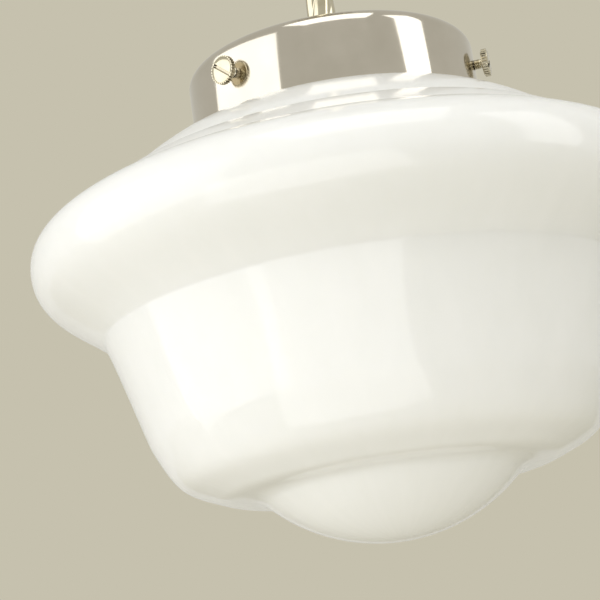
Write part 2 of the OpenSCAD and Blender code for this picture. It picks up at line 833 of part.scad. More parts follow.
module holder_terminals() {
    color(brass) for (x = terminal_places)
        translate([x - terminal_w / 2, -terminal_w / 2, terminal_bed])
            cube([terminal_w, terminal_w, terminal_h]);
}

module holder_screws() {
    color(steel) for (x = terminal_places) translate([x, 0, terminal_up]) difference() {
        cylinder(r = terminal_screw_r, h = terminal_screw_t, $fn = small);
        translate([-terminal_screw_r - overrun, -terminal_slot / 2, terminal_screw_t - terminal_slot])
            cube([2 * (terminal_screw_r + overrun), terminal_slot, terminal_slot + overrun]);
    }
}

// The left rivet feeds the thread's flange, the right one the centre contact
module contact_rivets() {
    color(brass) for (x = rivet_places) translate([x, 0, core_end])
        cylinder(r = rivet_r, h = terminal_bed - core_end, $fn = small);
}

// Rolled lamp thread: a thin tube whose wall waves in and out once each pitch
module lamp_thread() {
    waves = floor((core_end - lamp_flange - lamp_end) / lamp_pitch);
    outer = [for (i = [0:waves * 4]) [
        lamp_r + lamp_wall + lamp_swell * (1 - cos(90 * i)) / 2,
        core_end - lamp_flange - i * lamp_pitch / 4]];
    color(brass) rotate_extrude($fn = fine) polygon(concat(
        [[core_boss_r - lamp_flange_w, core_end], [lamp_r + lamp_wall, core_end]],
        outer,
        [for (p = backwards(outer)) [p[0] - lamp_wall, p[1]]],
        [[core_boss_r - lamp_flange_w, core_end - lamp_flange]]));
}

module centre_contact() {
    low = core_end - contact_drop;
    color(brass) translate([0, contact_w / 2, 0]) rotate([90, 0, 0]) linear_extrude(contact_w)
        polygon([
            [rivet_x + contact_pad, core_end], [rivet_x + contact_pad, core_end - contact_t],
            [rivet_x - contact_root, core_end - contact_t], [contact_pad, low - contact_t],
            [-contact_pad, low - contact_t], [-contact_pad, low], [contact_pad - contact_t, low],
            [rivet_x - contact_root - contact_t, core_end]]);
}

module lampholder_shell() {
    color(porcelain) rotate_extrude($fn = fine) polygon([
        [holder_r - holder_wall, cap_under - fit], [holder_r, cap_under - fit],
        [holder_r, shell_end + shell_edge], [holder_r - shell_edge, shell_end],
        [ledge_r + ledge_taper, shell_end], [ledge_r + ledge_taper, core_under - ledge_h],
        [ledge_r, core_under], [holder_r - holder_wall, core_under]]);
}

// The sheath ends in a ball at the tilt axis, and the upper run in a hollow round the same point
module flex_lower() {
    color("#e8e6e0") {
        translate([0, 0, strip_low]) cylinder(r = flex_r, h = pivot_z - strip_low, $fn = fine);
        translate([0, 0, pivot_z]) sphere(r = flex_r, $fn = fine);
    }
}

module flex_upper() {
    color("#e8e6e0") difference() {
        translate([0, 0, pivot_z]) cylinder(r = flex_r, h = strip_up - pivot_z, $fn = fine);
        translate([0, 0, pivot_z]) sphere(r = flex_r + soft, $fn = fine);
    }
}

// A round wire swept through points, as one closed mesh
module wire(points, r) {
    n = len(points);
    s = core_sides;
    function ring(i) =
        let (a = points[max(i - 1, 0)], b = points[min(i + 1, n - 1)], d = (b - a) / norm(b - a),
             side = cross(d, abs(d[2]) > 0.9 ? [0, 1, 0] : [0, 0, 1]), u = side / norm(side), v = cross(d, u))
        [for (k = [0:s - 1]) points[i] + r * (cos(360 * k / s) * u + sin(360 * k / s) * v)];
    verts = [for (i = [0:n - 1]) each ring(i)];
    walls = [for (i = [0:n - 2], k = [0:s - 1])
        each let (a = i * s + k, b = i * s + (k + 1) % s, c = a + s, d = b + s) [[a, b, d], [a, d, c]]];
    polyhedron(verts, concat([[for (k = [s - 1:-1:0]) k]], walls, [[for (k = [0:s - 1]) (n - 1) * s + k]]));
}

function smooth(p, n) = [for (i = [0:n]) let (t = i / n, u = 1 - t)
    u * u * u * p[0] + 3 * u * u * t * p[1] + 3 * u * t * t * p[2] + t * t * t * p[3]];

module upper_cores() {
    colours = ["#7a4a2b", "#3f9a4b", "#2f62b0"];
    for (k = [-1:1]) {
        start = [k == 0 ? earth_forward : -core_back, k * core_spread, strip_up + fit];
        finish = [block_face, k * sleeve_pitch, sleeve_z];
        color(colours[k + 1]) wire(concat(
            smooth([start, start + [0, 0, core_rise], finish + [core_reach, 0, 0], finish], curve_steps),
            [finish - [block_l / 2 - sleeve_web, 0, 0]]), core_r);
    }
}

module lower_cores() {
    colours = ["#7a4a2b", "#2f62b0"];
    slim = core_r * core_slim;
    drop = [0, 0, core_sag];
    for (k = [0, 1]) {
        side = 2 * k - 1;
        start = [side * core_apart[0], core_apart[1], strip_low - fit];
        finish = [terminal_places[k] - side * (terminal_w / 2 + fit), 0, terminal_up - core_seat];
        bend = finish - [side * core_lead, 0, 0];
        color(colours[k]) wire(concat(
            smooth([start, start - drop, bend - [side * core_tuck, 0, 0], bend], curve_steps),
            [finish]), slim);
    }
    earth_start = [0, -core_apart[0], strip_low - fit];
    earth_finish = [0, holder_earth_r + slim + fit - holder_earth_y, holder_earth_seat + core_r];
    earth_bend = earth_finish + [0, core_lead, 0];
    color("#3f9a4b") wire(concat(
        smooth([earth_start, earth_start - drop, earth_bend + [0, earth_tuck[0], -earth_tuck[1]], earth_bend],
               curve_steps), [earth_finish]), slim);
}

module pad(k) {
    color(nylon) at_screw(k) translate([0, 0, screw_z]) difference() {
        rod_x(pad_r, pad_in, pad_in + pad_l);
        rod_x(dog_r + fit, dog_in, pad_in + pad_l + overrun);
    }
}

// Threaded shaft as rings at the thread's pitch, a knurled head and a straight slot
module thumbscrew(k) {
    rings = floor((head_in - shaft_plain - shaft_in) / screw_pitch);
    head_r = head_d / 2;
    groove = [for (i = [0:rings - 1]) each [
        [screw_r - thread_depth, shaft_in + i * screw_pitch],
        [screw_r, shaft_in + (i + 0.5) * screw_pitch]]];
    color(nickel) at_screw(k) translate([0, 0, screw_z]) difference() {
        rotate([0, 90, 0]) rotate_extrude($fn = small * 2) polygon(concat(
            [[0, dog_in + fit], [dog_r, dog_in + fit], [dog_r, shaft_in]],
            groove,
            [[screw_r - thread_depth, shaft_in + rings * screw_pitch], [screw_r - thread_depth, head_in],
             [head_r - head_chamfer, head_in], [head_r, head_in + head_chamfer],
             [head_r, head_in + head_t - head_chamfer], [head_r - head_chamfer, head_in + head_t],
             [0, head_in + head_t]]));
        for (i = [0:knurls - 1]) rotate([360 * i / knurls, 0, 0])
            translate([0, 0, head_r + knurl_out])
                rod_x(knurl_r, head_in - overrun, head_in + head_t + overrun);
        rotate([slot_turns[k], 0, 0])
            translate([head_in + head_t - head_slot_depth, -head_r - overrun, -head_slot_w / 2])
                cube([head_slot_depth + overrun, 2 * (head_r + overrun), head_slot_w]);
    }
}

// Outside of the shade from the foot of the neck to the centre of the bottom
function shade_outside() = concat(
    arc([neck_r + shoulder_turn, shoulder_turn], shoulder_turn, 180, 270, curve_steps),
    curve(shoulder, shoulder_dir, shoulder_pulls[0], ring1, ring1_dir, shoulder_pulls[1], long_steps),
    curve(ring1, band_dirs[0], band_pulls[0], ring2, band_dirs[1], band_pulls[1], short_steps),
    curve(ring2, ring2_dir, rim_top_pulls[0], rim, rim_dir, rim_top_pulls[1], arc_steps),
    curve(rim, rim_dir, rim_low_pulls[0], waist_in, waist_dirs[0], rim_low_pulls[1], long_steps),
    curve(waist_in, waist_dirs[0], waist_pulls[0], waist_out, waist_dirs[1], waist_pulls[1], short_steps),
    curve(waist_out, waist_dirs[1], bowl_pulls[0], bowl, bowl_dir, bowl_pulls[1], short_steps),
    curve(bowl, bowl_dir, corner_pulls[0], base, base_dir, corner_pulls[1], long_steps),
    curve(base, base_dir, base_pulls[0], dome_edge, dome_edge_dir, base_pulls[1], curve_steps),
    [for (i = [dome_steps - 1:-1:0])
        [0, dome_mid] + dome_ball * [sin(dome_sweep * i / dome_steps), -cos(dome_sweep * i / dome_steps)]]);

module glass_shade() {
    out = shade_outside();
    ins = [for (p = inset(out, glass_t)) [max(p[0], 0), p[1]]];
    lip_low = lip_z - shoulder_z;
    lip_top = shade_top - shoulder_z;
    color(opal) translate([0, 0, shoulder_z]) rotate_extrude($fn = fine) polygon(concat(
        [[neck_in_r, lip_top]],
        arc([lip_r - lip_round, lip_top - lip_round], lip_round, 90, 0, short_steps),
        arc([lip_r - lip_round, lip_low + lip_round], lip_round, 0, -90, short_steps),
        [[neck_r, lip_low]],
        out,
        backwards(ins)));
}

module bulb_contact()
    color(steel) translate([0, 0, bulb_top - tip_h]) cylinder(r = tip_r, h = tip_h, $fn = small * 2);

module bulb_insulator() {
    color("#2a2a2c") translate([0, 0, cap_z])
        cylinder(r1 = bulb_thread_r - cone_edge[0], r2 = tip_r + cone_edge[1], h = cone_h, $fn = fine);
}

module bulb_cap() {
    ridge = [for (i = [0:bulb_waves * 4]) [
        bulb_thread_r - bulb_ridge_depth * (1 + cos(90 * i)) / 2,
        cap_z - bulb_cap_lead - i * lamp_pitch / 4]];
    color(steel) rotate_extrude($fn = fine) polygon(concat(
        [[0, cap_z], [bulb_thread_r - cone_edge[0], cap_z]], ridge,
        [[bulb_neck_r + bulb_cap_lap, cap_z - cap_h], [bulb_neck_r - bulb_wall, cap_z - cap_h],
         [bulb_neck_r - bulb_wall - bulb_cap_taper, cap_z - bulb_cap_roof], [0, cap_z - bulb_cap_roof]]));
}

module bulb_glass() {
    start = [bulb_neck_r, cap_z - cap_h];
    mid = [0, bulb_foot + bulb_r];
    out = concat(
        [start],
        curve(start, -90, bulb_pulls[0], mid + bulb_r * dir(bulb_angle_from), bulb_angle_from - 90,
              bulb_pulls[1], arc_steps),
        [for (i = [1:bulb_round_steps])
            mid + bulb_r * dir(mix(bulb_angle_from, bulb_angle_to, i / bulb_round_steps))],
        [[0, bulb_foot]]);
    color("#f4f3ee") rotate_extrude($fn = fine) polygon(concat(
        out, backwards([for (p = inset(out, bulb_wall)) [max(p[0], 0), p[1]]])));
}

module pad_1() pad(0);
module pad_2() pad(1);
module pad_3() pad(2);
module thumbscrew_1() thumbscrew(0);
module thumbscrew_2() thumbscrew(1);
module thumbscrew_3() thumbscrew(2);

ceiling_strap();
earth_screw();
terminal_block();
terminal_sleeves();
terminal_screws();
block_screw();
canopy();
canopy_screws();
canopy_collar();
top_nipple();
nipple_washer();
nipple_nut();
swivel_washer();
swivel_nut();
flex_upper();
upper_cores();
swivel_fork();
pivot_screws();
swivel_tongue();
top_ferrule();
stem();
stem_collar();
lower_nipple();
gallery();
gallery_washer();
gallery_nut();
lampholder_cap();
cord_grip();
holder_earth_screw();
lampholder_core();
holder_terminals();
holder_screws();
contact_rivets();
lamp_thread();
centre_contact();
lampholder_shell();
flex_lower();
lower_cores();
pad_1();
pad_2();
pad_3();
thumbscrew_1();
thumbscrew_2();
thumbscrew_3();
glass_shade();
bulb_contact();
bulb_insulator();
bulb_cap();
bulb_glass();
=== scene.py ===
"""Schoolhouse pendant light: opal glass shade in a satin nickel gallery, hung from a rope twist stem."""

import math

import bmesh
import bpy
from mathutils import Matrix, Vector


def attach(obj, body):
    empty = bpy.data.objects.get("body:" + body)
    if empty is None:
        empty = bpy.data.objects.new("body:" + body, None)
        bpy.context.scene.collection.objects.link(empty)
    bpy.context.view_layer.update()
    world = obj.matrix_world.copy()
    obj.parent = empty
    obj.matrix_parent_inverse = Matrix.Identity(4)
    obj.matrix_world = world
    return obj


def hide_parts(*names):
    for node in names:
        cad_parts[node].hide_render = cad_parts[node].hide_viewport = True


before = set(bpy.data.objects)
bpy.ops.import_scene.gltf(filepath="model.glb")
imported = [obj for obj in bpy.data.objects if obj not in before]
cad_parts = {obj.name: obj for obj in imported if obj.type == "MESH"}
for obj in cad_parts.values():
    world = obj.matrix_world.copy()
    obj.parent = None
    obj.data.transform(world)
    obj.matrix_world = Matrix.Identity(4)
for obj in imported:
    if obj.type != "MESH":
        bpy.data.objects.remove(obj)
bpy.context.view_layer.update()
scene = bpy.context.scene

MM = 0.001

# Heights on the lamp's axis, in millimetres below the ceiling
STEM_TOP = -82.5
STEM_FOOT = -272.5
GALLERY_Z = -288.5
SHOULDER_Z = GALLERY_Z - 28
SCREW_Z = GALLERY_Z - 13

# The photograph's camera: where it stands, which way it looks and how it is rolled
CAMERA_AZIMUTH = math.radians(-80.16)
CAMERA_DISTANCE = 682.4
CAMERA_Z = GALLERY_Z - 257.1
CAMERA_YAW = -0.0351
CAMERA_PITCH = 0.2406
CAMERA_ROLL = -0.1453
FOCAL_SHARE = 1903.8 / 600


# Curves and meshes

def heading(degrees):
    angle = math.radians(degrees)
    return Vector((math.cos(angle), math.sin(angle)))


def curve(start, start_dir, start_pull, end, end_dir, end_pull, steps, keep_start=False):
    """Points of a cubic curve that leaves start and reaches end in the given directions."""
    a, b = Vector(start), Vector(end)
    p = a + start_pull * heading(start_dir)
    q = b - end_pull * heading(end_dir)
    points = []
    for i in range(0 if keep_start else 1, steps + 1):
        t = i / steps
        u = 1 - t
        points.append(u**3 * a + 3 * u * u * t * p + 3 * u * t * t * q + t**3 * b)
    return points


def arc(middle, radius, start, end, steps):
    middle = Vector(middle)
    return [middle + radius * heading(start + (end - start) * i / steps) for i in range(steps + 1)]


def inset(points, depth):
    """The same outline moved by depth to its right-hand side."""
    moved = []
    for i, point in enumerate(points):
        run = (points[min(i + 1, len(points) - 1)] - points[max(i - 1, 0)]).normalized()
        moved.append(point + depth * Vector((run.y, -run.x)))
    return moved


def finish_mesh(name, bm, material, smooth_angle=35):
    """Makes an object of a closed mesh, with outward faces and smooth shading up to an angle."""
    bmesh.ops.remove_doubles(bm, verts=bm.verts, dist=1e-7)
    bmesh.ops.recalc_face_normals(bm, faces=bm.faces)
    mesh = bpy.data.meshes.new(name)
    bm.to_mesh(mesh)
    bm.free()
    mesh.materials.append(material)
    mesh.shade_smooth()
    mesh.set_sharp_from_angle(angle=math.radians(smooth_angle))
    piece = bpy.data.objects.new(name, mesh)
    scene.collection.objects.link(piece)
    return piece


def lathe_mesh(outline, segments, z_base=0.0, swell=None):
    """A closed outline of (radius, height) in millimetres, turned about the vertical axis.

    swell(angle, point index) adds to the radius there. The UV map runs round the axis and along the outline.
    """
    bm = bmesh.new()
    uv = bm.loops.layers.uv.new("turned")
    rings = []
    for j, (radius, height) in enumerate(outline):
        if radius < 1e-6:
            rings.append([bm.verts.new((0, 0, (height + z_base) * MM))])
            continue
        ring = []
        z = (height + z_base) * MM
        for i in range(segments):
            angle = 2 * math.pi * i / segments
            r = radius + (swell(angle, j) if swell else 0)
            ring.append(bm.verts.new((r * MM * math.cos(angle), r * MM * math.sin(angle), z)))
        rings.append(ring)
    count = len(outline)
    along = [0.0]
    for j in range(count):
        a, b = Vector(outline[j]), Vector(outline[(j + 1) % count])
        along.append(along[-1] + (b - a).length * MM)
    for j in range(count):
        low, high = rings[j], rings[(j + 1) % count]
        if len(low) == 1 and len(high) == 1:
            continue
        for i in range(segments):
            k = (i + 1) % segments
            corners = []
            for ring, v in ((low, along[j]), (high, along[j + 1])):
                pair = ((i, i / segments), (k, (i + 1) / segments))
                for index, u in pair if ring is low else reversed(pair):
                    vert = ring[0] if len(ring) == 1 else ring[index]
                    if all(vert is not corner[0] for corner in corners):
                        corners.append((vert, u, v))
            face = bm.faces.new([corner[0] for corner in corners])
            for loop, corner in zip(face.loops, corners):
                loop[uv].uv = (corner[1], corner[2])
    return bm


def lathe(name, outline, material, segments=160, z_base=0.0, swell=None, smooth_angle=35):
    return finish_mesh(name, lathe_mesh(outline, segments, z_base, swell), material, smooth_angle)


def rounded_cup(radius, height, wall, edge, hole, steps=16):
    """Outline of a spun cup, closed at height 0 and open at -height, with a rolled-soft lower edge."""
    nib = wall / 2
    outer = arc((radius - edge, -edge), edge, 90, 0, steps)
    foot = arc((radius - nib, -height + nib), nib, 0, -180, 6)
    inner = arc((radius - edge, -edge), edge - wall, 0, 90, steps)
    return [Vector((hole, 0))] + outer + foot + inner + [Vector((hole, -wall))]


def box_mesh(low, high):
    bm = bmesh.new()
    bmesh.ops.create_cube(bm, size=1)
    low, high = Vector(low) * MM, Vector(high) * MM
    for vert in bm.verts:
        vert.co = Vector([low[i] + (vert.co[i] + 0.5) * (high[i] - low[i]) for i in range(3)])
    return bm


def rod_mesh(radius, start, end, segments=32):
    """A plain rod between two points, in millimetres."""
    start, end = Vector(start) * MM, Vector(end) * MM
    run = end - start
    turn = run.to_track_quat("Z", "Y").to_matrix().to_4x4()
    bm = bmesh.new()
    bmesh.ops.create_cone(bm, cap_ends=True, segments=segments, radius1=radius * MM, radius2=radius * MM,
                          depth=run.length, matrix=Matrix.Translation((start + end) / 2) @ turn)
    return bm


def cut(piece, cutters):
    """Takes the cutters out of the piece and leaves a plain mesh."""
    for bm in cutters:
        tool = finish_mesh("cutter", bm, piece.data.materials[0])
        step = piece.modifiers.new("cut", "BOOLEAN")
        step.operation = "DIFFERENCE"
        step.solver = "EXACT"
        step.object = tool
        result = bpy.data.meshes.new_from_object(piece.evaluated_get(bpy.context.evaluated_depsgraph_get()))
        piece.modifiers.remove(step)
        old = piece.data
        piece.data = result
        bpy.data.meshes.remove(old)
        bpy.data.objects.remove(tool)
    piece.data.set_sharp_from_angle(angle=math.radians(35))
    return piece


def joined(name, pieces):
    """One object from several finished ones."""
    bm = bmesh.new()
    for piece in pieces:
        bm.from_mesh(piece.data)
    mesh = bpy.data.meshes.new(name)
    bm.to_mesh(mesh)
    bm.free()
    for material in pieces[0].data.materials:
        mesh.materials.append(material)
    mesh.set_sharp_from_angle(angle=math.radians(35))
    for piece in pieces:
        bpy.data.objects.remove(piece)
    whole = bpy.data.objects.new(name, mesh)
    scene.collection.objects.link(whole)
    return whole


def place(piece, body, slot, *nodes):
    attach(piece, body)
    if nodes:
        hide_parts(*nodes)
    return piece


# Materials

def linear(hex_colour):
    """An sRGB hex colour as linear red, green, blue and alpha."""
    channels = [int(hex_colour[i:i + 2], 16) / 255 for i in (1, 3, 5)]
    return tuple(c / 12.92 if c <= 0.04045 else ((c + 0.055) / 1.055) ** 2.4 for c in channels) + (1.0,)


def add(tree, kind, inputs=(), **settings):
    """Adds a node with its settings; an input is a value or the socket that feeds it."""
    made = tree.nodes.new(kind)
    for key, value in settings.items():
        setattr(made, key, value)
    for key, value in dict(inputs).items():
        if isinstance(value, bpy.types.NodeSocket):
            tree.links.new(value, made.inputs[key])
        else:
            made.inputs[key].default_value = value
    return made


def new_material(name):
    material = bpy.data.materials.new(name)
    material.use_nodes = True
    tree = material.node_tree
    tree.nodes.clear()
    out = add(tree, "ShaderNodeOutputMaterial")
    shader = add(tree, "ShaderNodeBsdfPrincipled")
    tree.links.new(shader.outputs["BSDF"], out.inputs["Surface"])
    point = add(tree, "ShaderNodeTexCoord").outputs["Object"]
    return material, tree, shader, point


def math_node(tree, operation, first, second=0.0):
    return add(tree, "ShaderNodeMath", {0: first, 1: second}, operation=operation).outputs[0]


def tone(tree, factor, dark, light, low=0.0, high=1.0):
    """A colour between two sRGB hex values by a factor."""
    ramp = add(tree, "ShaderNodeValToRGB", {0: factor})
    ramp.color_ramp.elements[0].position = low
    ramp.color_ramp.elements[1].position = high
    ramp.color_ramp.elements[0].color = linear(dark)
    ramp.color_ramp.elements[1].color = linear(light)
    return ramp.outputs["Color"]


def blended(tree, factor, first, second):
    made = add(tree, "ShaderNodeMix", {"Factor": factor}, data_type="RGBA")
    ports = [port for port in made.inputs if port.type == "RGBA"]
    tree.links.new(first, ports[0])
    if isinstance(second, tuple):
        ports[1].default_value = second
    else:
        tree.links.new(second, ports[1])
    return [port for port in made.outputs if port.type == "RGBA"][0]


def span(tree, value, low, high):
    """Maps 0..1 onto low..high."""
    return add(tree, "ShaderNodeMapRange", {"Value": value, "To Min": low, "To Max": high}).outputs["Result"]


def noise(tree, point, scale, detail=3.0, roughness=0.5, stretch=None):
    vector = point
    if stretch:
        vector = add(tree, "ShaderNodeMapping", {"Vector": point, "Scale": stretch}).outputs["Vector"]
    return add(tree, "ShaderNodeTexNoise", {"Vector": vector, "Scale": scale, "Detail": detail,
                                            "Roughness": roughness}).outputs["Fac"]


def bump(tree, shader, height, distance, strength=1.0):
    made = add(tree, "ShaderNodeBump", {"Height": height, "Distance": distance, "Strength": strength})
    tree.links.new(made.outputs["Normal"], shader.inputs["Normal"])


def turned_lines(tree, point, spacing, drag=6.0):
    """Fine lines that run round the lamp's axis, as a spinning lathe leaves them; spacing in metres."""
    axes = add(tree, "ShaderNodeSeparateXYZ", {"Vector": point}).outputs
    angle = math_node(tree, "ARCTAN2", axes["Y"], axes["X"])
    radius = math_node(tree, "SQRT", math_node(tree, "ADD", math_node(tree, "MULTIPLY", axes["X"], axes["X"]),
                                               math_node(tree, "MULTIPLY", axes["Y"], axes["Y"])))
    across = add(tree, "ShaderNodeCombineXYZ", {
        "X": math_node(tree, "MULTIPLY", angle, drag * spacing),
        "Y": radius, "Z": axes["Z"]}).outputs["Vector"]
    return noise(tree, across, 1 / spacing, detail=2.0)


def satin_nickel():
    # Nickel plate brushed while spinning: fine lines round the axis smear each reflection up and down
    material, tree, shader, point = new_material("nickel_plate_satin_brushed")
    lines = turned_lines(tree, point, 0.00045)
    cloud = noise(tree, point, 60.0)
    tree.links.new(tone(tree, cloud, "#cdc7bb", "#d6d0c5", 0.3, 0.7), shader.inputs["Base Color"])
    shader.inputs["Metallic"].default_value = 1.0
    tree.links.new(span(tree, lines, 0.08, 0.13), shader.inputs["Roughness"])
    shader.inputs["Anisotropic"].default_value = 1.0
    shader.inputs["Anisotropic Rotation"].default_value = 0.25
    tangent = add(tree, "ShaderNodeTangent", direction_type="UV_MAP", uv_map="turned")
    tree.links.new(tangent.outputs["Tangent"], shader.inputs["Tangent"])
    bump(tree, shader, lines, 0.00002, 0.3)
    return material


def polished_nickel():
    # Turned and buffed nickel plate: near mirror, faintly hazed, with painted shade: a brown darkening painted
    # into grooves and slots where shade falls, standing for both shade and tarnish
    material, tree, shader, point = new_material("nickel_plate_polished")
    haze = noise(tree, point, 220.0, detail=4.0)
    clean = tone(tree, haze, "#cdc5ad", "#d8d1bd", 0.3, 0.7)
    # painted shade: the plate turns brown where ambient occlusion finds a hollow within 1.2 mm, in grooves,
    # slots and thread roots
    hollow_shade = add(tree, "ShaderNodeAmbientOcclusion", {"Distance": 0.0012}, samples=8).outputs["AO"]
    reach = add(tree, "ShaderNodeMapRange", {"Value": hollow_shade, "From Min": 0.3, "From Max": 0.8})
    tarnish_and_painted_shade = tone(tree, haze, "#4a3b26", "#5d4c33", 0.3, 0.7)
    plated = blended(tree, reach.outputs["Result"], tarnish_and_painted_shade, clean)
    tree.links.new(plated, shader.inputs["Base Color"])
    shader.inputs["Metallic"].default_value = 1.0
    tree.links.new(span(tree, haze, 0.08, 0.2), shader.inputs["Roughness"])
    bump(tree, shader, haze, 0.00002, 0.4)
    return material


def zinc_steel():
    # Bright zinc plated steel: pale, slightly blue spangle
    material, tree, shader, point = new_material("steel_zinc_plated")
    grain = noise(tree, point, 900.0, detail=3.0)
    tree.links.new(tone(tree, grain, "#8f9598", "#b4b9bb", 0.3, 0.7), shader.inputs["Base Color"])
    shader.inputs["Metallic"].default_value = 1.0
    tree.links.new(span(tree, grain, 0.28, 0.45), shader.inputs["Roughness"])
    bump(tree, shader, grain, 0.00002, 0.5)
    return material


def turned_brass():
    # Plain turned brass: warm metal with tool lines round the axis
    material, tree, shader, point = new_material("brass_turned")
    lines = turned_lines(tree, point, 0.0004)
    tree.links.new(tone(tree, lines, "#b08a3c", "#d3b062", 0.3, 0.7), shader.inputs["Base Color"])
    shader.inputs["Metallic"].default_value = 1.0
    tree.links.new(span(tree, lines, 0.2, 0.35), shader.inputs["Roughness"])
    bump(tree, shader, lines, 0.00002, 0.5)
    return material


def moulded_plastic(name, dark, light, rough):
    # Moulded polymer: even colour with a fine spark-eroded grain
    material, tree, shader, point = new_material(name)
    grain = noise(tree, point, 1500.0, detail=2.0)
    tree.links.new(tone(tree, grain, dark, light, 0.3, 0.7), shader.inputs["Base Color"])
    tree.links.new(span(tree, grain, rough - 0.06, rough + 0.06), shader.inputs["Roughness"])
    shader.inputs["IOR"].default_value = 1.5
    bump(tree, shader, grain, 0.00003, 0.4)
    return material


def striped_insulation():
    # Earth core: green PVC with a yellow stripe wound along it
    material, tree, shader, point = new_material("pvc_core_green_yellow")
    wave = add(tree, "ShaderNodeTexWave", {"Vector": point, "Scale": 90.0, "Distortion": 0.4},
               wave_type="BANDS", bands_direction="DIAGONAL").outputs["Fac"]
    tree.links.new(tone(tree, wave, "#2f7d3a", "#d8c233", 0.55, 0.6), shader.inputs["Base Color"])
    shader.inputs["Roughness"].default_value = 0.42
    bump(tree, shader, noise(tree, point, 1200.0), 0.00002, 0.4)
    return material


def glazed_porcelain():
    # Electrical porcelain: cream body under a clear glaze, faintly orange-peeled
    material, tree, shader, point = new_material("porcelain_glazed")
    cloud = noise(tree, point, 70.0)
    tree.links.new(tone(tree, cloud, "#e6e1d3", "#f1eee4", 0.3, 0.7), shader.inputs["Base Color"])
    shader.inputs["Roughness"].default_value = 0.18
    shader.inputs["Coat Weight"].default_value = 0.6
    shader.inputs["Coat Roughness"].default_value = 0.05
    bump(tree, shader, noise(tree, point, 260.0), 0.00006, 0.5)
    return material


def black_glass():
    # Vitrite: black glass poured between the lamp's contacts
    material, tree, shader, point = new_material("glass_black_vitrite")
    cloud = noise(tree, point, 400.0)
    tree.links.new(tone(tree, cloud, "#141416", "#26262a", 0.3, 0.7), shader.inputs["Base Color"])
    shader.inputs["Roughness"].default_value = 0.12
    bump(tree, shader, cloud, 0.00004, 0.4)
    return material


def coated_bulb():
    # Bulb glass with a soft white powder coat inside: milky, with a clear outer gloss
    material, tree, shader, point = new_material("bulb_glass_soft_white")
    cloud = noise(tree, point, 45.0)
    tree.links.new(tone(tree, cloud, "#e9e7df", "#f5f4ee", 0.3, 0.7), shader.inputs["Base Color"])
    shader.inputs["Roughness"].default_value = 0.3
    shader.inputs["Subsurface Weight"].default_value = 0.3
    shader.inputs["Subsurface Radius"].default_value = (0.006, 0.006, 0.005)
    shader.inputs["Coat Weight"].default_value = 0.8
    shader.inputs["Coat Roughness"].default_value = 0.04
    bump(tree, shader, noise(tree, point, 120.0), 0.00003, 0.3)
    return material


def opal_glass():
    # Blown opal glass: white through its body, glassy on the skin, with faint mould streaks down the bowl
    material, tree, shader, point = new_material("glass_opal_blown")
    axes = add(tree, "ShaderNodeSeparateXYZ", {"Vector": point}).outputs
    angle = math_node(tree, "ARCTAN2", axes["Y"], axes["X"])
    around = add(tree, "ShaderNodeCombineXYZ", {"X": angle, "Y": math_node(tree, "MULTIPLY", axes["Z"], 5.0)})
    streaks = noise(tree, around.outputs["Vector"], 9.0, detail=3.0)
    swirl = noise(tree, point, 14.0, detail=4.0)
    milk = math_node(tree, "ADD", math_node(tree, "MULTIPLY", swirl, 0.6),
                     math_node(tree, "MULTIPLY", streaks, 0.4))
    tree.links.new(tone(tree, milk, "#f4f6f3", "#fafbf9", 0.3, 0.7), shader.inputs["Base Color"])
    shader.inputs["Roughness"].default_value = 0.09
    shader.inputs["IOR"].default_value = 1.5
    shader.inputs["Subsurface Weight"].default_value = 0.5
    shader.inputs["Subsurface Radius"].default_value = (1.0, 0.98, 0.9)
    shader.inputs["Subsurface Scale"].default_value = 0.012
    bump(tree, shader, math_node(tree, "ADD", streaks, math_node(tree, "MULTIPLY", swirl, 2.0)), 0.0003, 0.12)
    return material


def wall_paint(name, hex_colour):
    # Matt emulsion on plaster, with a faint roller texture
    material, tree, shader, point = new_material(name)
    cloud = noise(tree, point, 3.0)
    value = span(tree, cloud, 0.97, 1.03)
    shade = add(tree, "ShaderNodeHueSaturation", {"Color": linear(hex_colour), "Value": value})
    tree.links.new(shade.outputs["Color"], shader.inputs["Base Color"])
    shader.inputs["Roughness"].default_value = 0.9
    return material


SATIN = satin_nickel()
POLISHED = polished_nickel()
ZINC = zinc_steel()
BRASS = turned_brass()
NYLON = moulded_plastic("nylon_natural_moulded", "#d3cdbb", "#ded9ca", 0.45)
SHEATH = moulded_plastic("pvc_sheath_white", "#dedcd4", "#e9e7e0", 0.5)
BROWN = moulded_plastic("pvc_core_brown", "#5d3a22", "#6d472c", 0.42)
BLUE = moulded_plastic("pvc_core_blue", "#27539c", "#3464b0", 0.42)
EARTH = striped_insulation()
PORCELAIN = glazed_porcelain()
VITRITE = black_glass()
BULB = coated_bulb()
OPAL = opal_glass()

NODE_MATERIALS = {
    ZINC: ("ceiling_strap", "terminal_screws", "block_screw", "nipple_washer", "gallery_washer", "holder_screws",
           "bulb_contact", "bulb_cap"),
    BRASS: ("earth_screw", "terminal_sleeves", "top_nipple", "nipple_nut", "swivel_washer", "swivel_nut",
            "lower_nipple", "gallery_nut", "lampholder_cap", "holder_earth_screw", "holder_terminals",
            "contact_rivets", "lamp_thread", "centre_contact"),
    NYLON: ("terminal_block", "cord_grip", "pad_1", "pad_2", "pad_3"),
    SHEATH: ("flex_upper", "flex_lower"),
    PORCELAIN: ("lampholder_core", "lampholder_shell"),
    VITRITE: ("bulb_insulator",),
    BULB: ("bulb_glass",),
    POLISHED: ("canopy_screws", "pivot_screws", "swivel_fork", "swivel_tongue"),
}


def dress_nodes():
    """Gives each carried-over node its real finish."""
    for material, names in NODE_MATERIALS.items():
        for name in names:
            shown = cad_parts[name]
            for place_in_list in range(len(shown.material_slots)):
                shown.material_slots[place_in_list].material = material
            if not shown.material_slots:
                shown.data.materials.append(material)


# The shade

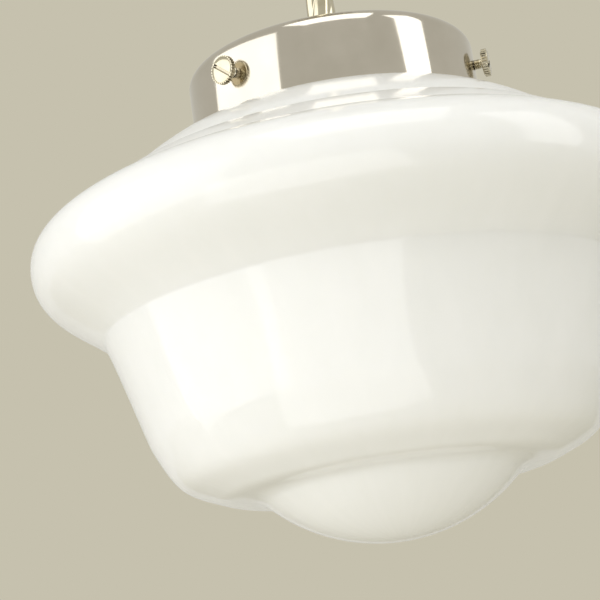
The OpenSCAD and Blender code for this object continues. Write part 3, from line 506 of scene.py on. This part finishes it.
SHADE_NECK = 46.5
SHADE_GLASS = 3.0
SHADE_TURN = 5.5
SHADE_LIP = 49.5
SHADE_LIP_TOP = 22.1
SHADE_LIP_LOW = 17.1
RING_STEP = 0.35
SHADE_DOME_EDGE = (46.2, -135.9)
SHADE_DOME_HEIGHT = 18.9
SHADE_DOME_STEPS = 26
SHADE_LIP_ROUND = 1.4


def shade_outline():
    shoulder = (SHADE_NECK + SHADE_TURN, 0)
    ring1, ring2 = (89.7, -17.2), (105.5, -25.9)
    rim, waist_in, waist_out = (120.5, -42.8), (98.8, -68.5), (96.2, -72.7)
    bowl, base = (84.7, -110.5), (63.7, -131.4)
    outer = arc((SHADE_NECK + SHADE_TURN, SHADE_TURN), SHADE_TURN, 180, 270, 10)
    outer += curve(shoulder, 4, 8.3, (ring1[0] - RING_STEP, ring1[1] - RING_STEP), -37, 28.9, 34)
    outer += curve(ring1, -27, 6, (ring2[0] - RING_STEP, ring2[1] - RING_STEP), -31, 6, 10, keep_start=True)
    outer += curve(ring2, -21.5, 9.9, rim, -90, 8.7, 28, keep_start=True)
    outer += curve(rim, -90, 12.8, waist_in, 222, 13.2, 30)
    outer += curve(waist_in, 222, 3, waist_out, 248.5, 3, 8)
    outer += curve(waist_out, 248.5, 7.2, bowl, 245.5, 2.9, 8)
    outer += curve(bowl, 245.5, 18.1, base, 203, 13.5, 30)
    edge_r, edge_z = SHADE_DOME_EDGE
    ball = (edge_r**2 + SHADE_DOME_HEIGHT**2) / (2 * SHADE_DOME_HEIGHT)
    sweep = math.asin(edge_r / ball)
    outer += curve(base, 203, 7, SHADE_DOME_EDGE, 180 + math.degrees(sweep), 6, 20)
    middle = edge_z - SHADE_DOME_HEIGHT + ball
    for i in range(SHADE_DOME_STEPS - 1, -1, -1):
        angle = sweep * i / SHADE_DOME_STEPS
        outer.append(Vector((ball * math.sin(angle), middle - ball * math.cos(angle))))
    outer[-1].x = 0.0
    inner = [Vector((max(p.x, 0.0), p.y)) for p in inset(outer, SHADE_GLASS)]
    inner[-1].x = 0.0
    lip = [Vector((SHADE_NECK - SHADE_GLASS, SHADE_LIP_TOP))]
    edge = SHADE_LIP - SHADE_LIP_ROUND
    lip += arc((edge, SHADE_LIP_TOP - SHADE_LIP_ROUND), SHADE_LIP_ROUND, 90, 0, 8)
    lip += arc((edge, SHADE_LIP_LOW + SHADE_LIP_ROUND), SHADE_LIP_ROUND, 0, -90, 8)
    lip += [Vector((SHADE_NECK, SHADE_LIP_LOW))]
    return lip + outer + inner[::-1]


def make_shade():
    shade = lathe("opal_shade", shade_outline(), OPAL, segments=176, z_base=SHOULDER_Z, smooth_angle=40)
    place(shade, "shade_body", "opal_glass", "glass_shade")


# Gallery, collars, canopy

THREAD_HOLE = 5.05
SHEET = 1.2
GALLERY_RADIUS = 54
GALLERY_HEIGHT = 27
GALLERY_ROUND = 5
BOSS_RADIUS = 3.6
BOSS_IN = 50.6
BOSS_OUT = 53.2
SCREW_HOLE = 2.05
CANOPY_RADIUS = 60
CANOPY_HEIGHT = 30
CANOPY_ROUND = 9
CANOPY_SCREW_Z = -12
COLLAR_RADIUS = 14
COLLAR_HEIGHT = 5
COLLAR_ROUND = 1.5
SCREW_ANGLES = (0, 120, 240)


def make_gallery():
    outline = rounded_cup(GALLERY_RADIUS, GALLERY_HEIGHT, SHEET, GALLERY_ROUND, THREAD_HOLE)
    cup = lathe("gallery_cup", outline, SATIN, segments=192, z_base=GALLERY_Z)
    holes = []
    bosses = []
    for degrees in SCREW_ANGLES:
        out = Vector((*heading(degrees), 0))
        level = Vector((0, 0, SCREW_Z))
        boss = finish_mesh("boss", rod_mesh(BOSS_RADIUS, level + out * BOSS_IN, level + out * BOSS_OUT), SATIN)
        inside, outside = level + out * 48, level + out * 56
        bosses.append(cut(boss, [rod_mesh(SCREW_HOLE, inside, outside)]))
        holes.append(rod_mesh(SCREW_HOLE, inside, outside))
    place(joined("satin_gallery", [cut(cup, holes)] + bosses), "stem_body", "nickel", "gallery")


def make_canopy():
    cup = rounded_cup(CANOPY_RADIUS, CANOPY_HEIGHT, SHEET, CANOPY_ROUND, THREAD_HOLE)
    upturned = [Vector((p.x, -p.y)) for p in cup]
    shell = lathe("satin_canopy", upturned, SATIN, segments=192, z_base=-CANOPY_HEIGHT)
    cutters = [rod_mesh(SCREW_HOLE, (side * 56, 0, CANOPY_SCREW_Z), (side * 63, 0, CANOPY_SCREW_Z))
               for side in (-1, 1)]
    place(cut(shell, cutters), "ceiling_body", "nickel", "canopy")
    collar = [Vector((THREAD_HOLE, COLLAR_HEIGHT)), Vector((COLLAR_RADIUS, COLLAR_HEIGHT))]
    collar += arc((COLLAR_RADIUS - COLLAR_ROUND, COLLAR_ROUND), COLLAR_ROUND, 0, -90, 8)
    collar += [Vector((THREAD_HOLE, 0))]
    ring = lathe("turned_canopy_collar", collar, POLISHED, segments=96, z_base=-CANOPY_HEIGHT - COLLAR_HEIGHT)
    place(ring, "ceiling_body", "nickel", "canopy_collar")


def make_stem_ends():
    ferrule = [Vector(p) for p in ((4.65, 0), (5.9, 0), (6.1, 0.2))]
    ferrule += [Vector(p) for p in ((7.6, 2.2), (7.8, 2.6), (7.8, 14.6), (7.7, 15.0), (7.2, 15.7), (6.8, 16.0))]
    ferrule += [Vector((5.05, 16.0)), Vector((5.05, 9.0)), Vector((4.65, 9.0))]
    place(lathe("turned_top_ferrule", ferrule, POLISHED, segments=96, z_base=STEM_TOP), "stem_body", "nickel",
          "top_ferrule")
    bell = [Vector(p) for p in ((5.05, 0), (10.6, 0), (11, 0.4), (11, 2.5))]
    bell += curve((9.8, 3.2), 150, 4, (6.2, 14.5), 92, 5, 20, keep_start=True)
    bell += [Vector(p) for p in ((6.2, 15.5), (6.05, 15.85), (5.7, 16), (4.65, 16), (4.65, 7), (5.05, 7))]
    place(lathe("turned_stem_collar", bell, POLISHED, segments=96, z_base=GALLERY_Z), "stem_body", "nickel",
          "stem_collar")


# Rope twist stem

ROPE_LOBE = 3.6
ROPE_OUT = 1.9
ROPE_PITCH = 90.0
ROPE_START = 86.0


def rope_tree(material):
    """A tree that rolls a flat grid into a tube of four lobes, twisted along its length."""
    tree = bpy.data.node_groups.new("rope_twist", "GeometryNodeTree")
    face = tree.interface
    for name, value in (("Length", 0.19), ("Foot", STEM_FOOT * MM), ("Turns", 2.0), ("Start", 0.0),
                        ("Lobe Radius", ROPE_LOBE * MM), ("Lobe Offset", ROPE_OUT * MM)):
        face.new_socket(name, in_out="INPUT", socket_type="NodeSocketFloat").default_value = value
    face.new_socket("Geometry", in_out="OUTPUT", socket_type="NodeSocketGeometry")
    given = add(tree, "NodeGroupInput").outputs
    across, along = 97, 401
    grid = add(tree, "GeometryNodeMeshGrid", {"Size X": 1.0, "Size Y": 1.0,
                                              "Vertices X": along, "Vertices Y": across})
    position = add(tree, "GeometryNodeInputPosition").outputs[0]
    axes = add(tree, "ShaderNodeSeparateXYZ", {"Vector": position}).outputs
    run = math_node(tree, "ADD", axes["X"], 0.5)
    angle = math_node(tree, "MULTIPLY", axes["Y"], 2 * math.pi)
    # the angle measured from the nearest lobe's middle
    quarter = math.pi / 2
    quarters = math_node(tree, "ROUND", math_node(tree, "DIVIDE", angle, quarter))
    nearest = math_node(tree, "MULTIPLY", quarters, quarter)
    off = math_node(tree, "SUBTRACT", angle, nearest)
    sideways = math_node(tree, "MULTIPLY", given["Lobe Offset"], math_node(tree, "SINE", off))
    lobe_square = math_node(tree, "MULTIPLY", given["Lobe Radius"], given["Lobe Radius"])
    inside = math_node(tree, "SUBTRACT", lobe_square, math_node(tree, "MULTIPLY", sideways, sideways))
    forward = math_node(tree, "MULTIPLY", given["Lobe Offset"], math_node(tree, "COSINE", off))
    radius = math_node(tree, "ADD", forward, math_node(tree, "SQRT", inside))
    twist = math_node(tree, "MULTIPLY", math_node(tree, "MULTIPLY", run, given["Turns"]), 2 * math.pi)
    bearing = math_node(tree, "ADD", math_node(tree, "ADD", angle, twist), given["Start"])
    spot = add(tree, "ShaderNodeCombineXYZ", {
        "X": math_node(tree, "MULTIPLY", radius, math_node(tree, "COSINE", bearing)),
        "Y": math_node(tree, "MULTIPLY", radius, math_node(tree, "SINE", bearing)),
        "Z": math_node(tree, "ADD", math_node(tree, "MULTIPLY", run, given["Length"]), given["Foot"])})
    rolled = add(tree, "GeometryNodeSetPosition", {"Geometry": grid.outputs["Mesh"],
                                                   "Position": spot.outputs["Vector"]})
    sewn = add(tree, "GeometryNodeMergeByDistance", {"Geometry": rolled.outputs["Geometry"], "Distance": 1e-6})
    real = add(tree, "GeometryNodeRealizeInstances", {"Geometry": sewn.outputs["Geometry"]})
    painted = add(tree, "GeometryNodeSetMaterial", {"Geometry": real.outputs["Geometry"], "Material": material})
    add(tree, "NodeGroupOutput", {"Geometry": painted.outputs["Geometry"]})
    return tree


def grown(name, tree, **sizes):
    """The plain mesh that a tree makes, as a finished object."""
    seed = bpy.data.objects.new(name, bpy.data.meshes.new(name))
    scene.collection.objects.link(seed)
    step = seed.modifiers.new("grow", "NODES")
    step.node_group = tree
    for item in tree.interface.items_tree:
        if item.in_out == "INPUT" and item.name in sizes:
            step[item.identifier] = sizes[item.name]
    result = bpy.data.meshes.new_from_object(seed.evaluated_get(bpy.context.evaluated_depsgraph_get()))
    seed.modifiers.remove(step)
    seed.data = result
    return seed


def make_stem():
    length = STEM_TOP - STEM_FOOT
    rope = grown("rope_stem", rope_tree(POLISHED), Length=length * MM, Turns=length / ROPE_PITCH,
                 Start=math.radians(ROPE_START))
    bm = bmesh.new()
    bm.from_mesh(rope.data)
    bmesh.ops.holes_fill(bm, edges=bm.edges, sides=0)
    bmesh.ops.recalc_face_normals(bm, faces=bm.faces)
    bm.to_mesh(rope.data)
    bm.free()
    rope.data.shade_smooth()
    rope.data.set_sharp_from_angle(angle=math.radians(50))
    place(rope, "stem_body", "nickel", "stem")


# Thumbscrews

HEAD_IN = 57.3
HEAD_THICK = 2.6
SHAFT_IN = 49.65
SHAFT_RADIUS = 1.95
THREAD_PITCH = 0.7
THREAD_DEPTH = 0.3
DOG_IN = 47.85
RIM_RADIUS = 4.88
TOOTH_RADIUS = 0.4
SLOT_DEPTH = 1.1
SLOT_HALF = 0.7
TEETH = 30
SLOT_TURNS = (35, 70, 140)


def tooth_tree(material):
    """A tree that sets straight knurl teeth round the rim of a screw head lying along the X axis."""
    tree = bpy.data.node_groups.new("knurl_teeth", "GeometryNodeTree")
    face = tree.interface
    face.new_socket("Teeth", in_out="INPUT", socket_type="NodeSocketInt").default_value = TEETH
    for name, value in (("Rim Radius", 0.005), ("Tooth Radius", 0.0003), ("Tooth Length", 0.002),
                        ("Middle", 0.058)):
        face.new_socket(name, in_out="INPUT", socket_type="NodeSocketFloat").default_value = value
    face.new_socket("Geometry", in_out="OUTPUT", socket_type="NodeSocketGeometry")
    given = add(tree, "NodeGroupInput").outputs
    dots = add(tree, "GeometryNodeMeshCircle", {"Vertices": given["Teeth"], "Radius": given["Rim Radius"]})
    tooth = add(tree, "GeometryNodeMeshCylinder", {"Vertices": 6, "Radius": given["Tooth Radius"],
                                                   "Depth": given["Tooth Length"]})
    teeth = add(tree, "GeometryNodeInstanceOnPoints", {"Points": dots.outputs["Mesh"],
                                                       "Instance": tooth.outputs["Mesh"]})
    real = add(tree, "GeometryNodeRealizeInstances", {"Geometry": teeth.outputs["Instances"]})
    shift = add(tree, "ShaderNodeCombineXYZ", {"X": given["Middle"]}).outputs["Vector"]
    laid = add(tree, "GeometryNodeTransform", {"Geometry": real.outputs["Geometry"], "Translation": shift,
                                               "Rotation": (0.0, math.pi / 2, 0.0)})
    painted = add(tree, "GeometryNodeSetMaterial", {"Geometry": laid.outputs["Geometry"], "Material": material})
    add(tree, "NodeGroupOutput", {"Geometry": painted.outputs["Geometry"]})
    return tree


def threaded_outline():
    """Outline along a screw, from its tip to under its head, as (radius, distance)."""
    steps = int((HEAD_IN - 0.6 - SHAFT_IN) / THREAD_PITCH * 8)
    start = [(0.0, DOG_IN), (0.95, DOG_IN), (1.0, DOG_IN + 0.05), (1.0, SHAFT_IN),
             (SHAFT_RADIUS - THREAD_DEPTH, SHAFT_IN)]
    shaft = [(SHAFT_RADIUS - THREAD_DEPTH, SHAFT_IN + 0.05 + i * THREAD_PITCH / 8) for i in range(steps)]
    return start, shaft


def make_thumbscrew(index, teeth):
    start, shaft = threaded_outline()
    first = len(start)

    def helix(angle, j):
        """Height of the thread's ridge at this angle and distance."""
        if j < first or j >= first + len(shaft):
            return 0.0
        phase = (shaft[j - first][1] / THREAD_PITCH + angle / (2 * math.pi)) % 1.0
        fade = min(1.0, (j - first) / 6, (first + len(shaft) - 1 - j) / 6)
        return THREAD_DEPTH * (1 - abs(2 * phase - 1)) * fade

    neck = SHAFT_RADIUS - THREAD_DEPTH
    face = HEAD_IN + HEAD_THICK
    head = [(neck, HEAD_IN), (4.4, HEAD_IN), (4.75, HEAD_IN + 0.3), (4.85, HEAD_IN + 0.5), (4.85, face - 0.5),
            (4.75, face - 0.25), (4.4, face - 0.06), (2.5, face), (0.0, face + 0.02)]
    outline = start + shaft + head
    body = lathe("screw", outline, POLISHED, segments=64, swell=helix, smooth_angle=30)
    lay = Matrix.Rotation(math.pi / 2, 4, "Y")
    body.data.transform(lay)
    slot_box = box_mesh((face - SLOT_DEPTH, -8, -SLOT_HALF), (face + 1, 8, SLOT_HALF))
    slot_turn = Matrix.Rotation(math.radians(SLOT_TURNS[index]), 4, "X")
    bmesh.ops.transform(slot_box, matrix=slot_turn, verts=slot_box.verts)
    cut(body, [slot_box])
    knurl = grown("knurl", teeth, **{"Rim Radius": RIM_RADIUS * MM, "Tooth Radius": TOOTH_RADIUS * MM,
                                     "Tooth Length": (HEAD_THICK - 0.7) * MM,
                                     "Middle": (HEAD_IN + HEAD_THICK / 2) * MM})
    whole = joined("knurled_thumbscrew_%d" % (index + 1), [body, knurl])
    seat = Matrix.Translation((0, 0, SCREW_Z * MM)) @ Matrix.Rotation(math.radians(SCREW_ANGLES[index]), 4, "Z")
    whole.data.transform(seat)
    place(whole, "screw_%d" % (index + 1), "nickel", "thumbscrew_%d" % (index + 1))


# Wiring under the canopy

def tube(name, points, radius, material, segments=20):
    """A round wire swept through points in millimetres, with closed ends."""
    path = [Vector(p) * MM for p in points]
    bm = bmesh.new()
    rings = []
    side = Vector((0, 1, 0))
    for i, spot in enumerate(path):
        run = (path[min(i + 1, len(path) - 1)] - path[max(i - 1, 0)]).normalized()
        side = (side - side.dot(run) * run).normalized()
        up = run.cross(side)
        rings.append([bm.verts.new(spot + radius * MM * (math.cos(a) * side + math.sin(a) * up))
                      for a in (2 * math.pi * k / segments for k in range(segments))])
    for low, high in zip(rings, rings[1:]):
        for k in range(segments):
            bm.faces.new((low[k], low[(k + 1) % segments], high[(k + 1) % segments], high[k]))
    bm.faces.new(rings[0][::-1])
    bm.faces.new(rings[-1])
    return finish_mesh(name, bm, material, 50)


def bent(start, leave, reach, end, steps=28):
    """Points of a wire that leaves start by one lead and reaches end by another."""
    a, b = Vector(start), Vector(end)
    p, q = a + Vector(leave), b + Vector(reach)
    return [(1 - t)**3 * a + 3 * (1 - t)**2 * t * p + 3 * (1 - t) * t * t * q + t**3 * b
            for t in (i / steps for i in range(steps + 1))]


def make_cores():
    """Three coloured cores at each end of the flex: to the supply terminals and to the lampholder."""
    wires = (("live_core", -1, BROWN, -0.7), ("earth_core", 0, EARTH, 1.4), ("neutral_core", 1, BLUE, -0.7))
    for name, row, material, x in wires:
        end = Vector((-14, row * 7.4, -8))
        path = bent((x, row * 1.25, -18.75), (0, 0, 7), (12, 0, 0), end) + [end - Vector((9, 0, 0))]
        place(tube(name, path, 1.0, material), "ceiling_body", "core_insulation", "upper_cores")
    lamp_wires = (("lamp_live_core", -1, BROWN, -7.85), ("lamp_neutral_core", 1, BLUE, 4.85))
    for name, side, material, x in lamp_wires:
        end = Vector((x, 0, -317.05))
        bend = end - Vector((side, 0, 0))
        path = bent((side * 1.3, 0.6, -307.35), (0, 0, -2.4), (-side * 1.8, 0, 0), bend) + [end]
        place(tube(name, path, 0.8, material), "stem_body", "core_insulation", "lower_cores")
    bend = Vector((0, -7.45, -307.7))
    path = bent((0, -1.3, -307.35), (0, 0, -2.4), (0, 4, -0.8), bend) + [bend - Vector((0, 1, 0))]
    place(tube("lamp_earth_core", path, 0.8, EARTH), "stem_body", "core_insulation", "lower_cores")


# Light

# One even pale tone all round, and four soft boxes turned to the middle of the shade
SURROUNDING_TONE = "#cfcdc4"
BACKDROP_TONE = "#c6c1ae"
BOX_DISTANCE = 1.5
SHADE_MIDDLE = Vector((0, 0, -0.38))
FLOOR_HALF = 7
FLOOR_Z = -1.7


def make_surroundings():
    """The even tone that lights the lamp, and the plain backdrop that the camera sees."""
    world = bpy.data.worlds.new("pale_surroundings")
    scene.world = world
    world.use_nodes = True
    tree = world.node_tree
    tree.nodes.clear()
    even = add(tree, "ShaderNodeBackground", {"Color": linear(SURROUNDING_TONE), "Strength": 1.0})
    backdrop = add(tree, "ShaderNodeBackground", {"Color": linear(BACKDROP_TONE), "Strength": 1.0})
    seen = add(tree, "ShaderNodeLightPath").outputs["Is Camera Ray"]
    either = add(tree, "ShaderNodeMixShader", {0: seen, 1: even.outputs[0], 2: backdrop.outputs[0]})
    add(tree, "ShaderNodeOutputWorld", {"Surface": either.outputs[0]})


def soft_box(name, offset, climb, power, width, height):
    """A soft box; offset is its bearing from the camera and climb its angle above the shade, in degrees."""
    data = bpy.data.lights.new(name, "AREA")
    data.shape = "RECTANGLE"
    data.size = width
    data.size_y = height
    data.energy = power
    box = bpy.data.objects.new(name, data)
    scene.collection.objects.link(box)
    bearing = CAMERA_AZIMUTH + math.radians(offset)
    climb = math.radians(climb)
    level = math.cos(climb)
    away = Vector((math.cos(bearing) * level, math.sin(bearing) * level, math.sin(climb)))
    box.location = SHADE_MIDDLE + away * BOX_DISTANCE
    box.rotation_euler = away.to_track_quat("Z", "Y").to_euler()
    box.visible_camera = False


def make_soft_boxes():
    soft_box("key_box", offset=-70, climb=5, power=13, width=1.8, height=1.8)
    soft_box("low_fill_box", offset=-15, climb=-35, power=12, width=1.8, height=1.4)
    soft_box("side_box", offset=70, climb=20, power=5, width=0.6, height=1.6)
    soft_box("top_box", offset=10, climb=60, power=8, width=1.2, height=1.2)


def make_floor():
    bm = bmesh.new()
    level = Matrix.Translation((0, 0, FLOOR_Z))
    bmesh.ops.create_grid(bm, x_segments=1, y_segments=1, size=FLOOR_HALF, matrix=level)
    floor = finish_mesh("pale_floor", bm, wall_paint("emulsion_pale", "#d3cfbf"))


def make_camera():
    data = bpy.data.cameras.new("camera")
    data.sensor_width = 36
    data.sensor_fit = "HORIZONTAL"
    data.lens = data.sensor_width * FOCAL_SHARE
    data.clip_start = 0.01
    camera = bpy.data.objects.new("camera", data)
    scene.collection.objects.link(camera)
    spin = Matrix.Rotation(CAMERA_AZIMUTH + math.pi / 2, 3, "Z")
    run = math.cos(CAMERA_PITCH)
    forward = Vector((math.sin(CAMERA_YAW) * run, math.cos(CAMERA_YAW) * run, math.sin(CAMERA_PITCH)))
    level = Vector((math.cos(CAMERA_YAW), -math.sin(CAMERA_YAW), 0))
    upright = level.cross(forward)
    right = level * math.cos(CAMERA_ROLL) + upright * math.sin(CAMERA_ROLL)
    up = upright * math.cos(CAMERA_ROLL) - level * math.sin(CAMERA_ROLL)
    place_m = spin @ Vector((0, -CAMERA_DISTANCE, CAMERA_Z)) * MM
    columns = [spin @ right, spin @ up, spin @ -forward]
    camera.matrix_world = Matrix([[columns[c][r] for c in range(3)] + [place_m[r]] for r in range(3)]
                                 + [[0, 0, 0, 1]])
    scene.camera = camera


make_camera()
make_surroundings()
make_soft_boxes()
make_floor()
dress_nodes()
make_shade()
make_gallery()
make_canopy()
make_stem_ends()
make_stem()
TEETH_TREE = tooth_tree(POLISHED)
for screw_index in range(3):
    make_thumbscrew(screw_index, TEETH_TREE)
make_cores()

scene.view_settings.view_transform = "Standard"
scene.view_settings.look = "None"
